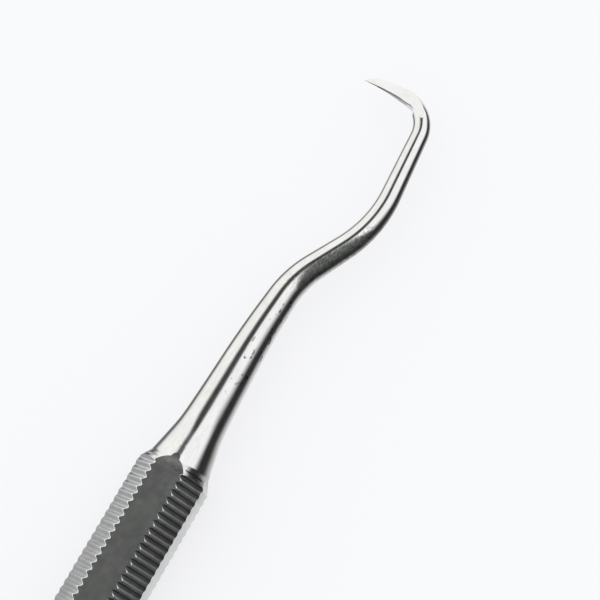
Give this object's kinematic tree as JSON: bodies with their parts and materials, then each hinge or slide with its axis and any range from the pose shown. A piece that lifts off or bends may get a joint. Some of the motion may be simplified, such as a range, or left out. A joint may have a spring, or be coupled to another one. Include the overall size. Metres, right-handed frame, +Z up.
{
  "type": "sharp hook retractor",
  "caption": "Slim hand instrument with an octagonal grip of smooth and ribbed faces, a turned neck and an S-bent tapering shank that ends in a ground, pointed hook.",
  "frame": {"origin": "on the smooth grip face that it lies on, below the grip's axis, half way along the grip", "axes": "+X along the grip towards the hook, +Z up out of the face that it lies on, bends in the XY plane, hook point towards +Y"},
  "size_m": [0.1649, 0.0083, 0.006],
  "materials": {
    "polished_steel": "polished stainless steel, satin on the smooth grip faces"
  },
  "bodies": {
    "root": {"hook_retractor": "polished_steel"}
  },
  "joints": []
}
